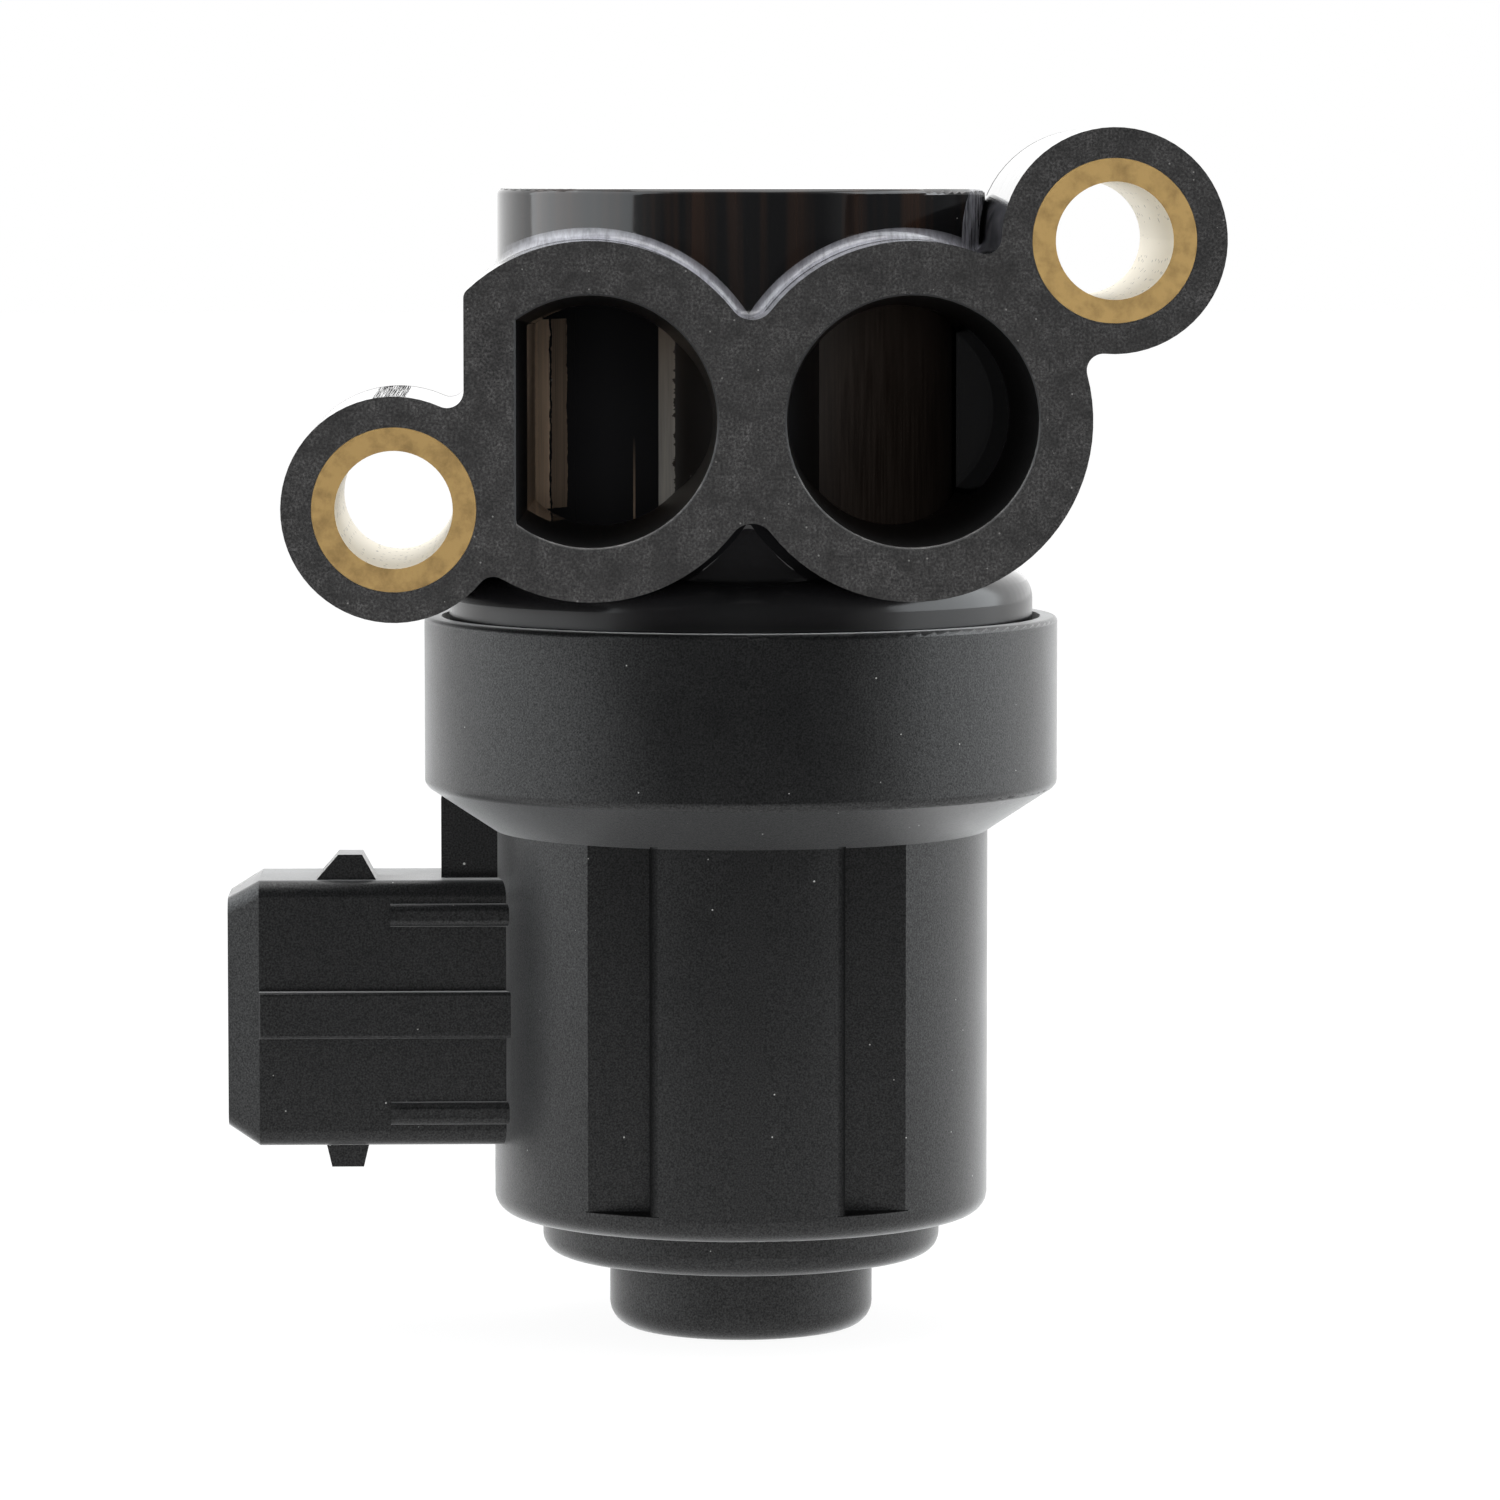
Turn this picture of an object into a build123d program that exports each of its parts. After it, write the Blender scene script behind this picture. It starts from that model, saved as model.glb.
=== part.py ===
from build123d import *
from math import asin, degrees, sqrt
import os

# Rotary idle air valve, millimetres.
# The flange face is the plane y = 0 and looks along -Y, x runs to the right and z is up.
# The origin is the middle of the flange face, halfway between the two ports.

# Ports and flange
port_r = 9.1              # port radius at the flange face
port_x = 11.6             # each port's centre from the middle of the flange
port_taper = 3.6          # draft of the port bores, degrees
port_edge = 0.15          # break along the ports' front edges
edge_slope = 45
port_flat = 5.4           # left port: centre to its flat side
port_wall = 3.9           # wall of a port tube
port_flat_wall = 3.75     # wall beside the flat side
port_end_wall = 2.6       # wall that closes the port tubes at the back
notch_r = 1.7             # rounding in the notches between the tubes
flat_corner_r = 0.8       # rounding of the flat side's upper corner
flange_depth = 28.4       # length of tubes, ears and bushes
flange_stand = 3.0        # flange face in front of the motor cap
back_edge_r = 1.0         # rounding of the flange body's back edge
web_land = 3.0            # straight length of the web between the ports
web_half = 5.3            # half width of the web where it meets the shutter
root_r = 0.85             # rounding between the port tubes and the chamber

# Ears and their bushes
right_ear = (26.1, 13.0)  # x and z of the right hole
left_ear = (-25.8, -6.3)  # x and z of the left hole
bush_bore_r = 4.25        # clearance hole for an M8 bolt
bush_wall = 1.7
ear_wall = 2.2
ear_fillet_r = 1.2        # rounding where the ears meet the tubes

# Shutter chamber
bore_r = 16.3
chamber_wall = 2.15
chamber_headroom = 7.6    # port's upper edge to the chamber's top
chamber_top_wall = 3.2
chamber_edge_r = 0.45
chamber_footroom = 2.8    # port's lower edge to the base's top
base_step = 3.65          # base flange beyond the chamber
base_height = 6.3
shoulder_r = 2.3

# Motor housing, outside
rim_gap = 0.6             # gap between base flange and rim
rim_wall = 1.3
rim_height = 2.65         # rim above the base flange's seat
rim_edge_r = 0.4
cap_height = 12.75
cone_height = 3.45
cone_edge_r = 0.8         # rounding between cap and cone
barrel_r = 18.75
barrel_height = 29.25
barrel_edge_r = 1.6
foot_step = 3.65          # barrel to foot plate
foot_height = 3.1
foot_edge_r = 1.5
boss_wall = 3.0           # wall round the lower bearing
boss_height = 5.7
boss_floor = 1.8
boss_edge_r = 1.9
panel_half = 7.2          # half width of the panel between the two flutes
flute_wall = 1.6          # wall left behind a flute
flute_stop = 1.9          # round collar below the flutes
panel_edge_r = 0.6

# Connector shroud, its mouth looks along -X
connector_length = 20.1   # barrel to mouth
connector_drop = 13.55    # cone's foot to the connector's centre line
connector_height = 20.1
connector_depth = 11.4
connector_edge_r = 1.2
mouth_length = 2.4        # length of the tapered mouth
mouth_inset = 1.4         # how far the mouth draws in
socket_height = 15.4
socket_depth = 7.6
socket_length = 17.3
rib_width = 3.5
rib_proud = 1.0
rib_edge_r = 0.25
short_rib_width = 1.7
short_rib_proud = 0.7
short_rib_edge_r = 0.5
short_rib_length = 7.8
short_rib_offset = 7.5    # from the connector's centre line
latch_from_mouth = 6.7
latch_base = 4.5
latch_top = 1.8
latch_run = 1.65          # run of the latch's gentle side
latch_height = 1.9
key_from_mouth = 7.4      # key under the connector, opposite the latch
key_base = 3.2
key_run = 0.4
key_height = 1.7
latch_front = 4.3         # latch's front face before the connector's middle
latch_depth = 3.9
web_reach = 4.0           # web over the connector, out from the barrel
web_depth = 6.0
web_edge_r = 1.0

# Terminals
terminal_pitch = 5.0
terminal_width = 2.8
terminal_thick = 0.8
terminal_recess = 6.5     # mouth to blade tips
terminal_tail = 1.6       # blade end inside the yoke
terminal_tip = 0.3        # chamfer at the blade tips
window_margin = 1.0       # yoke window round the blades

# Rotor and shutter
shaft_r = 2.5
shaft_end = 1.3           # shaft above the shutter
shutter_gap = 0.3         # shutter to chamber wall
shutter_wall = 1.6
shutter_overlap = 0.6     # shutter beyond the port, above and below
shutter_plate = 1.6
shutter_foot_gap = 1.3    # shutter to bearing plate
shutter_hub_wall = 2.1
shutter_lead = 24.0       # rest: shutter's edge left of the front, degrees
shutter_trail = 84.0      # rest: shutter's edge right of the front, degrees
close_turn = 60.0         # turn that shuts the flat-sided port, degrees
open_turn = 4.0           # turn that clears it, degrees
stop_pin_r = 1.25
stop_pin_at = 10.5        # stop pin from the shaft's axis
stop_clear = 1.5          # play at each stop, degrees
stop_disc_rim = 2.0       # disc beyond the stop pin
stop_notch_gap = 1.0      # notch floor to stop pin
stop_pin_root = 3.0       # stop pin inside the bearing plate
circlip_wall = 1.5
circlip_thick = 0.6
circlip_groove = 0.35
circlip_gap = 60.0        # open angle of the circlip, degrees
shaft_edge = 0.3          # chamfer of the shaft's ends

# Bearings
bearing_r = 7.0
bearing_width = 5.0
bearing_pitch_r = 4.75
ball_r = 1.4
ball_count = 7
ball_play = 0.1           # ball to grooves and cage pockets
race_gap = 0.85           # pitch circle to each race shoulder
cage_half = 0.4           # half the cage's wall
cage_edge = 0.5           # cage beyond the ball pockets
fit = 0.02                # radial clearance of seated round pieces
run_fit = 0.05            # radial clearance of running round pieces
plate_flange = 3.6        # bearing plate beyond the chamber bore
plate_thick = 3.0
plate_play = 0.1
plate_hole_gap = 1.0      # shaft to the plate's hole
seal_r = 5.2
seal_height = 2.6
seal_wall = 0.9
washer_thick = 0.35
washer_height = 0.6
washer_wall = 2.2
washer_inset = 0.3        # washer's edge inside the bearing's

# Housing seal
cord_r = 0.7
cord_from_seat = 1.3
groove_play = 0.1

# Motor
yoke_r = 12.95
yoke_wall = 1.4
yoke_length = 30.0
cavity_floor = 2.5        # foot plate's inner floor above the barrel's end
magnet_wall = 2.7
magnet_length = 22.0
air_gap = 0.4
shoe_thick = 1.2
shoe_half_angle = 55.0
stem_half = 2.2
stem_height = 13.0
bobbin_wall = 0.6
bobbin_play = 0.1
winding_build = 1.7       # height of the winding on its bobbin
winding_play = 0.05
winding_cover = 0.15      # bobbin flange beyond the winding

# Derived sizes
bush_r = bush_bore_r + bush_wall
ear_r = bush_r + ear_wall
tube_r = port_r + port_wall
flat_x = -(port_x + port_flat)
tube_flat_x = flat_x - port_flat_wall
chamber_r = bore_r + chamber_wall
base_r = chamber_r + base_step
cap_r = base_r + rim_gap + rim_wall
axis_y = cap_r + flange_stand
chamber_top = port_r + chamber_headroom
ceiling = chamber_top - chamber_top_wall
base_top = -(port_r + chamber_footroom)
seat = base_top - base_height
rim_top = seat + rim_height
cap_low = rim_top - cap_height
cone_foot = cap_low - cone_height
barrel_low = cone_foot - barrel_height
foot_r = barrel_r - foot_step
foot_low = barrel_low - foot_height
boss_r = bearing_r + boss_wall
boss_low = foot_low - boss_height
cavity_r = yoke_r + fit
cavity_low = barrel_low + cavity_floor
flute_floor = axis_y - cavity_r - flute_wall
flute_height = barrel_height - flute_stop
connector_z = cone_foot - connector_drop
mouth_x = -(barrel_r + connector_length)
socket_x = mouth_x + socket_length
shutter_r = bore_r - shutter_gap
shutter_half = port_r + shutter_overlap
shutter_top = shutter_half + shutter_plate
hub_r = shaft_r + shutter_hub_wall
spigot_top = -shutter_top - shutter_foot_gap
plate_low = seat - plate_thick
upper_bearing_low = plate_low
washer_low = boss_low + boss_floor
lower_bearing_low = washer_low + washer_height
shaft_top = shutter_top + shaft_end
shaft_low = lower_bearing_low
yoke_inner_r = yoke_r - yoke_wall
yoke_mid = cavity_low + yoke_length / 2
magnet_r = shaft_r + magnet_wall
shoe_r = magnet_r + air_gap
shoe_outer_r = shoe_r + shoe_thick
plate_r = bore_r + plate_flange
stop_disc_r = stop_pin_at + stop_pin_r + stop_disc_rim
stop_notch_r = stop_pin_at - stop_pin_r - stop_notch_gap
stop_pin_angle = degrees(asin(stop_pin_r / stop_pin_at)) + stop_clear
stop_at = 90              # the stop pin stands behind the shaft, degrees from +X
notch_from = stop_at - open_turn - stop_pin_angle
notch_to = stop_at + close_turn + stop_pin_angle
core_half = stem_half + bobbin_play + bobbin_wall
core_tall = stem_height + 2 * (bobbin_play + bobbin_wall)
winding_half = core_half + winding_play + winding_build
winding_tall = core_tall + 2 * (winding_play + winding_build)
bobbin_half = winding_half + winding_cover
bobbin_tall = winding_tall + 2 * winding_cover
bobbin_start = shoe_outer_r + bobbin_play
bobbin_length = sqrt(yoke_inner_r ** 2 - bobbin_half ** 2) - bobbin_play - bobbin_start
mouth_depth = connector_depth - 2 * mouth_inset
mouth_height = connector_height - 2 * mouth_inset
blade_start = mouth_x + terminal_recess
blade_end = -(yoke_inner_r - terminal_tail)
latch_x = mouth_x + latch_from_mouth
latch_foot = connector_z + connector_height / 2
key_x = mouth_x + key_from_mouth
key_foot = connector_z - connector_height / 2
blade_z = (connector_z + terminal_pitch, connector_z, connector_z - terminal_pitch)
cage_height = 2 * (ball_r + ball_play + cage_edge)
washer_r = bearing_r - washer_inset
circlip_r = shaft_r - circlip_groove + fit + circlip_wall

cord_ring_r = base_r + rim_gap - groove_play - cord_r
groove_floor_r = cord_ring_r - cord_r - groove_play
groove_width = 2 * (cord_r + groove_play)
cord_z = seat + cord_from_seat
web_start = port_x - port_r
web_end = axis_y - sqrt(bore_r ** 2 - web_half ** 2)
web_tall = sqrt(port_r ** 2 - (port_x - web_half) ** 2)

upright = (Align.CENTER, Align.CENTER, Align.MIN)
shaft_axis = Axis((0, axis_y, 0), (0, 0, 1))
half_section = Plane(origin=(0, axis_y, 0), x_dir=(1, 0, 0), z_dir=(0, -1, 0))


def level(z):
    return Plane(origin=(0, axis_y, z))


def from_front(angle):
    # Direction in the shutter's plane, counted from the flange side towards -X
    return -90 - angle


def outward(side, distance):
    # Plane across the motor's front (-1) or rear (1), looking away from the shaft
    middle = (0, axis_y + side * distance, yoke_mid)
    return Plane(origin=middle, x_dir=(-side, 0, 0), z_dir=(0, side, 0))


def across_connector(x):
    return Plane(origin=(x, axis_y, connector_z), x_dir=(0, -1, 0), z_dir=(-1, 0, 0))


def finish(piece, name):
    piece.part.label = name
    export_step(piece.part, f"parts/{name}.step")


def draw_tubes():
    # Both port tubes side by side, the left one with a flat side
    with BuildSketch(mode=Mode.PRIVATE) as tubes:
        with Locations((port_x, 0), (-port_x, 0)):
            Circle(tube_r)
        with Locations((tube_flat_x, 0)):
            Rectangle(tube_r, 2 * tube_r, align=(Align.MAX, Align.CENTER), mode=Mode.SUBTRACT)
        fillet(tubes.vertices().group_by(Axis.X)[0], flat_corner_r)
        fillet(tubes.vertices().sort_by(lambda v: abs(v.X))[:2], notch_r)
    add(tubes.sketch)


def on_ear(corner):
    reach = [sqrt((corner.X - ear[0]) ** 2 + (corner.Y - ear[1]) ** 2) for ear in (right_ear, left_ear)]
    return min(reach) < ear_r + fit


def draw_sector(radius, start, end, mode=Mode.ADD):
    # Pie slice about the sketch's origin, angles in degrees
    with BuildLine() as outline:
        arc = CenterArc((0, 0), radius, start, end - start)
        Line((0, 0), arc @ 0)
        Line(arc @ 1, (0, 0))
    make_face(outline.edges(), mode=mode)


os.makedirs("parts", exist_ok=True)

# Ears of the upper moulding, cut from the flange's outline with their roundings to the tubes
with BuildPart() as ears:
    with BuildSketch(Plane.XZ) as flange_outline:
        draw_tubes()
        with Locations(right_ear, left_ear):
            Circle(ear_r)
        fillet(flange_outline.vertices().filter_by(on_ear), ear_fillet_r)
    extrude(amount=-flange_depth)
    fillet(ears.faces().sort_by(Axis.Y)[-1].edges(), back_edge_r)
    with BuildSketch(Plane.XZ) as near_ears:
        with Locations(right_ear, left_ear):
            Circle(ear_r + 2 * ear_fillet_r)
    extrude(amount=-flange_depth, mode=Mode.INTERSECT)

# Upper moulding: port tubes, shutter chamber, ears and base
with BuildPart() as valve_housing:
    with BuildSketch(Plane.XZ) as tube_outline:
        draw_tubes()
    extrude(amount=-flange_depth)
    fillet(valve_housing.faces().sort_by(Axis.Y)[-1].edges(), back_edge_r)
    with Locations((0, axis_y, seat)):
        Cylinder(chamber_r, chamber_top - seat, align=upright)
    fillet(valve_housing.edges(Select.NEW), root_r)
    fillet(valve_housing.faces().sort_by(Axis.Z)[-1].edges(), chamber_edge_r)
    with BuildSketch(half_section) as base_profile:
        with Locations((0, seat)):
            Rectangle(base_r, base_height, align=(Align.MIN, Align.MIN))
        fillet(base_profile.vertices().sort_by_distance((base_r, base_top))[:1], shoulder_r)
        with Locations((groove_floor_r, cord_z)):
            Rectangle(base_r, groove_width, align=(Align.MIN, Align.CENTER), mode=Mode.SUBTRACT)
    revolve(axis=shaft_axis)
    add(ears.part)

    with BuildSketch(Plane.XZ) as port_outline:
        with Locations((port_x, 0), (-port_x, 0)):
            Circle(port_r)
        with Locations((flat_x, 0)):
            Rectangle(port_r, 2 * port_r, align=(Align.MAX, Align.CENTER), mode=Mode.SUBTRACT)
    extrude(amount=-(flange_depth - port_end_wall), taper=port_taper, mode=Mode.SUBTRACT)
    with BuildSketch(Plane.XZ) as port_break:
        add(port_outline.sketch_local)
        offset(amount=port_edge, kind=Kind.INTERSECTION)
    extrude(amount=-port_edge, taper=edge_slope, mode=Mode.SUBTRACT)
    with BuildSketch(Plane.XY.offset(-web_tall)) as web_plan:
        with BuildLine():
            Polyline(
                (web_start, web_land), (web_half, web_end), (web_half, axis_y),
                (-web_half, axis_y), (-web_half, web_end), (-web_start, web_land), close=True,
            )
        make_face()
    extrude(amount=2 * web_tall)
    with Locations((0, axis_y, seat)):
        Cylinder(bore_r, ceiling - seat, align=upright, mode=Mode.SUBTRACT)
    with BuildSketch(Plane.XZ) as bush_holes:
        with Locations(right_ear, left_ear):
            Circle(bush_r)
    extrude(amount=-flange_depth, mode=Mode.SUBTRACT)
finish(valve_housing, "valve_housing")

# Ear bushes
for bush_name, ear in (("right_ear_bush", right_ear), ("left_ear_bush", left_ear)):
    with BuildPart() as bush:
        with BuildSketch(Plane.XZ) as bush_ring:
            with Locations(ear):
                Circle(bush_r - fit)
                Circle(bush_bore_r, mode=Mode.SUBTRACT)
        extrude(amount=-flange_depth)
    finish(bush, bush_name)

# Seal cord between base and rim
with BuildPart() as housing_seal:
    with Locations((0, axis_y, cord_z)):
        Torus(cord_ring_r, cord_r)
finish(housing_seal, "housing_seal")

# Lower moulding: cap, barrel, foot, bearing boss and connector shroud
with BuildPart() as motor_housing:
    with BuildSketch(half_section) as motor_profile:
        with BuildLine():
            Polyline(
                (0, boss_low), (boss_r, boss_low), (boss_r, foot_low), (foot_r, foot_low),
                (foot_r, barrel_low), (barrel_r, barrel_low), (barrel_r, cone_foot),
                (cap_r, cap_low), (cap_r, rim_top), (0, rim_top), close=True,
            )
        make_face()
        fillet(motor_profile.vertices().sort_by_distance((boss_r, boss_low))[:1], boss_edge_r)
        fillet(motor_profile.vertices().sort_by_distance((foot_r, foot_low))[:1], foot_edge_r)
        fillet(motor_profile.vertices().sort_by_distance((barrel_r, barrel_low))[:1], barrel_edge_r)
        fillet(motor_profile.vertices().sort_by_distance((cap_r, cap_low))[:1], cone_edge_r)
        fillet(motor_profile.vertices().sort_by_distance((cap_r, rim_top))[:1], rim_edge_r)
    revolve(axis=shaft_axis)
    with Locations((panel_half, flute_floor, cone_foot)):
        Box(barrel_r, barrel_r, flute_height, align=(Align.MIN, Align.MAX, Align.MAX), mode=Mode.SUBTRACT)
    with Locations((-panel_half, flute_floor, cone_foot)):
        Box(barrel_r, barrel_r, flute_height, align=(Align.MAX, Align.MAX, Align.MAX), mode=Mode.SUBTRACT)
    panel_edges = motor_housing.edges().filter_by(Axis.Z).group_by(Axis.Y)[0]
    fillet(panel_edges, panel_edge_r)

    with BuildSketch(across_connector(0)) as shroud_outline:
        RectangleRounded(connector_depth, connector_height, connector_edge_r)
    extrude(amount=-(mouth_x + mouth_length))
    with BuildSketch(across_connector(mouth_x + mouth_length)) as mouth_root:
        RectangleRounded(connector_depth, connector_height, connector_edge_r)
    with BuildSketch(across_connector(mouth_x)) as mouth_tip:
        RectangleRounded(mouth_depth, mouth_height, connector_edge_r)
    loft(ruled=True)

    with BuildSketch(across_connector(0)) as rib_outline:
        RectangleRounded(connector_depth + 2 * rib_proud, rib_width, rib_edge_r)
    extrude(amount=-(mouth_x + mouth_length))
    with BuildSketch(across_connector(0)) as short_rib_outline:
        with Locations((0, short_rib_offset), (0, -short_rib_offset)):
            RectangleRounded(connector_depth + 2 * short_rib_proud, short_rib_width, short_rib_edge_r)
    extrude(amount=barrel_r + short_rib_length)
    with BuildSketch(half_section.offset(latch_front)) as latch_outline:
        with BuildLine():
            Polyline(
                (latch_x, connector_z), (latch_x, latch_foot),
                (latch_x + latch_run, latch_foot + latch_height),
                (latch_x + latch_run + latch_top, latch_foot + latch_height),
                (latch_x + latch_base, latch_foot), (latch_x + latch_base, connector_z), close=True,
            )
        make_face()
    extrude(amount=-latch_depth)
    with BuildSketch(half_section.offset(latch_front)) as key_outline:
        with BuildLine():
            Polyline(
                (key_x, connector_z), (key_x, key_foot), (key_x + key_run, key_foot - key_height),
                (key_x + key_base - key_run, key_foot - key_height),
                (key_x + key_base, key_foot), (key_x + key_base, connector_z), close=True,
            )
        make_face()
    extrude(amount=-latch_depth)
    with BuildSketch(half_section) as web_outline:
        with Locations((-barrel_r - web_reach, connector_z)):
            Rectangle(web_reach + barrel_r, cap_low - connector_z, align=(Align.MIN, Align.MIN))
        fillet(web_outline.vertices().sort_by_distance((-barrel_r - web_reach, cap_low))[:1], web_edge_r)
    extrude(amount=web_depth / 2, both=True)

    with Locations((0, axis_y, seat)):
        Cylinder(base_r + rim_gap, rim_height, align=upright, mode=Mode.SUBTRACT)
    with Locations((0, axis_y, plate_low)):
        Cylinder(plate_r + plate_play, plate_thick, align=upright, mode=Mode.SUBTRACT)
    with Locations((0, axis_y, cavity_low)):
        Cylinder(cavity_r, plate_low - cavity_low, align=upright, mode=Mode.SUBTRACT)
    with Locations((0, axis_y, washer_low)):
        Cylinder(bearing_r + fit, cavity_low - washer_low, align=upright, mode=Mode.SUBTRACT)
    with Locations((mouth_x, axis_y, connector_z)):
        Box(
            socket_length, socket_depth, socket_height,
            align=(Align.MIN, Align.CENTER, Align.CENTER), mode=Mode.SUBTRACT,
        )
    with Locations(*[(socket_x, axis_y, z) for z in blade_z]):
        Box(
            blade_end - socket_x, terminal_thick, terminal_width,
            align=(Align.MIN, Align.CENTER, Align.CENTER), mode=Mode.SUBTRACT,
        )
finish(motor_housing, "motor_housing")

# Terminal blades
for blade_name, z in zip(("opening_terminal", "supply_terminal", "closing_terminal"), blade_z):
    with BuildPart() as blade:
        with Locations((blade_start, axis_y, z)):
            Box(
                blade_end - blade_start, terminal_thick, terminal_width,
                align=(Align.MIN, Align.CENTER, Align.CENTER),
            )
        chamfer(blade.faces().sort_by(Axis.X)[0].edges(), terminal_tip)
    finish(blade, blade_name)

# Bearing plate between chamber and motor
with BuildPart() as bearing_plate:
    with BuildSketch(half_section) as plate_profile:
        with BuildLine():
            Polyline(
                (bearing_r + fit, plate_low), (plate_r, plate_low), (plate_r, seat),
                (bore_r - plate_play, seat), (bore_r - plate_play, spigot_top), (seal_r + fit, spigot_top),
                (seal_r + fit, spigot_top - seal_height),
                (shaft_r + plate_hole_gap, spigot_top - seal_height),
                (shaft_r + plate_hole_gap, plate_low + bearing_width),
                (bearing_r + fit, plate_low + bearing_width), close=True,
            )
        make_face()
    revolve(axis=shaft_axis)
    with Locations((0, axis_y + stop_pin_at, spigot_top - stop_pin_root)):
        Cylinder(stop_pin_r + fit, stop_pin_root, align=upright, mode=Mode.SUBTRACT)
finish(bearing_plate, "bearing_plate")

# Stop pin
with BuildPart() as stop_pin:
    with Locations((0, axis_y + stop_pin_at, spigot_top - stop_pin_root)):
        Cylinder(stop_pin_r, stop_pin_root + shutter_foot_gap + shutter_plate, align=upright)
    chamfer(stop_pin.faces().sort_by(Axis.Z)[-1].edges(), shaft_edge)
finish(stop_pin, "stop_pin")

# Shaft seal
with BuildPart() as shaft_seal:
    with BuildSketch(half_section) as seal_profile:
        with BuildLine():
            Polyline(
                (seal_r - seal_wall, spigot_top - seal_height), (seal_r, spigot_top - seal_height),
                (seal_r, spigot_top), (shaft_r + run_fit, spigot_top),
                (shaft_r + run_fit, spigot_top - seal_wall), (seal_r - seal_wall, spigot_top - seal_wall),
                close=True,
            )
        make_face()
    revolve(axis=shaft_axis)
finish(shaft_seal, "shaft_seal")


def ball_bearing(name, low):
    middle = low + bearing_width / 2
    for ring_name, inner, outer in (
        ("outer_ring", bearing_pitch_r + race_gap, bearing_r),
        ("inner_ring", shaft_r + fit, bearing_pitch_r - race_gap),
    ):
        with BuildPart() as ring:
            with BuildSketch(half_section) as ring_profile:
                with Locations((inner, low)):
                    Rectangle(outer - inner, bearing_width, align=(Align.MIN, Align.MIN))
                with Locations((bearing_pitch_r, middle)):
                    Circle(ball_r + ball_play, mode=Mode.SUBTRACT)
            revolve(axis=shaft_axis)
        finish(ring, f"{name}_bearing_{ring_name}")
    with BuildPart() as balls:
        with Locations((0, axis_y, middle)):
            with PolarLocations(bearing_pitch_r, ball_count):
                Sphere(ball_r)
    finish(balls, f"{name}_bearing_balls")
    with BuildPart() as cage:
        with Locations((0, axis_y, middle)):
            Cylinder(bearing_pitch_r + cage_half, cage_height)
            Cylinder(bearing_pitch_r - cage_half, cage_height, mode=Mode.SUBTRACT)
            with PolarLocations(bearing_pitch_r, ball_count):
                Cylinder(ball_r + ball_play, 4 * cage_half, rotation=(0, 90, 0), mode=Mode.SUBTRACT)
    finish(cage, f"{name}_bearing_cage")


ball_bearing("upper", upper_bearing_low)
ball_bearing("lower", lower_bearing_low)

# Dished washer that loads the lower bearing
with BuildPart() as preload_washer:
    with BuildSketch(half_section) as washer_profile:
        with BuildLine():
            Polyline(
                (washer_r - washer_wall, washer_low), (washer_r, lower_bearing_low - washer_thick),
                (washer_r, lower_bearing_low), (washer_r - washer_wall, washer_low + washer_thick),
                close=True,
            )
        make_face()
    revolve(axis=shaft_axis)
finish(preload_washer, "preload_washer")

# Shaft
with BuildPart() as shaft:
    with Locations((0, axis_y, shaft_low)):
        Cylinder(shaft_r, shaft_top - shaft_low, align=upright)
    chamfer(shaft.edges(), shaft_edge)
    with BuildSketch(level(shutter_top)) as clip_groove:
        Circle(shaft_r)
        Circle(shaft_r - circlip_groove, mode=Mode.SUBTRACT)
    extrude(amount=circlip_thick, mode=Mode.SUBTRACT)
finish(shaft, "shaft")

# Rotor magnet
with BuildPart() as rotor_magnet:
    with BuildSketch(level(yoke_mid - magnet_length / 2)) as magnet_ring:
        Circle(magnet_r)
        Circle(shaft_r + fit, mode=Mode.SUBTRACT)
    extrude(amount=magnet_length)
finish(rotor_magnet, "rotor_magnet")

# Shutter with its stop disc
with BuildPart() as rotary_shutter:
    with BuildSketch(level(-shutter_top)) as skin_plan:
        draw_sector(shutter_r, from_front(shutter_lead), from_front(-shutter_trail))
        Circle(shutter_r - shutter_wall, mode=Mode.SUBTRACT)
        Circle(hub_r)
    extrude(amount=2 * shutter_top)
    with BuildSketch(level(shutter_half)) as upper_plate:
        draw_sector(shutter_r, from_front(shutter_lead), from_front(-shutter_trail))
    extrude(amount=shutter_plate)
    with BuildSketch(level(-shutter_top)) as lower_plate:
        Circle(stop_disc_r)
        draw_sector(2 * stop_disc_r, notch_from, notch_to, Mode.SUBTRACT)
        Circle(stop_notch_r)
        draw_sector(shutter_r, from_front(shutter_lead), from_front(-shutter_trail))
    extrude(amount=shutter_plate)
    with Locations((0, axis_y, 0)):
        Cylinder(shaft_r + fit, 2 * shutter_top, mode=Mode.SUBTRACT)
finish(rotary_shutter, "rotary_shutter")

# Circlip over the shutter
with BuildPart() as shutter_circlip:
    with BuildSketch(level(shutter_top)) as clip_plan:
        Circle(circlip_r)
        Circle(circlip_r - circlip_wall, mode=Mode.SUBTRACT)
        draw_sector(2 * circlip_r, 90 - circlip_gap / 2, 90 + circlip_gap / 2, Mode.SUBTRACT)
    extrude(amount=circlip_thick)
finish(shutter_circlip, "shutter_circlip")

# Yoke sleeve with a window for the blades
with BuildPart() as yoke_sleeve:
    with BuildSketch(level(cavity_low)) as sleeve_ring:
        Circle(yoke_r)
        Circle(yoke_inner_r, mode=Mode.SUBTRACT)
    extrude(amount=yoke_length)
    with Locations((-yoke_inner_r, axis_y, connector_z)):
        Box(
            4 * yoke_wall, terminal_thick + 2 * window_margin,
            2 * terminal_pitch + terminal_width + 2 * window_margin, mode=Mode.SUBTRACT,
        )
finish(yoke_sleeve, "yoke_sleeve")


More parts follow.
